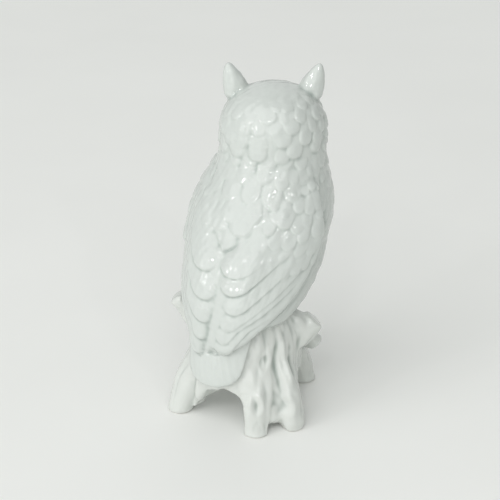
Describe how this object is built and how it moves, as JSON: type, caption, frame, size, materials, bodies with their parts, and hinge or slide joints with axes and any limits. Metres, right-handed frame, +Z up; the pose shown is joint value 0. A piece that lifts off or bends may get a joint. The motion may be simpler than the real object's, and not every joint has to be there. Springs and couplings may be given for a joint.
{
  "type": "owl figurine",
  "caption": "White glazed porcelain owl with ear tufts and folded wings, perched on a hollow tree stump with spreading roots and cut branch stubs.",
  "frame": {"origin": "on the ground under the middle of the figurine's bounding box", "axes": "+Z up, the longest extent; the owl's breast faces -Y, its tail +Y and its left side +X"},
  "size_m": [0.0834, 0.0992, 0.1889],
  "materials": {
    "porcelain": "gloss"
  },
  "bodies": {
    "root": {"body": "porcelain", "head": "porcelain", "ear_tuft_left": "porcelain", "ear_tuft_right": "porcelain", "eye_left": "porcelain", "eye_right": "porcelain", "beak": "porcelain", "wing_left": "porcelain", "wing_right": "porcelain", "tail": "porcelain", "foot_left": "porcelain", "foot_right": "porcelain", "stump": "porcelain", "branch_stub_left": "porcelain", "branch_stub_right": "porcelain", "branch_stub_front": "porcelain"}
  },
  "joints": []
}
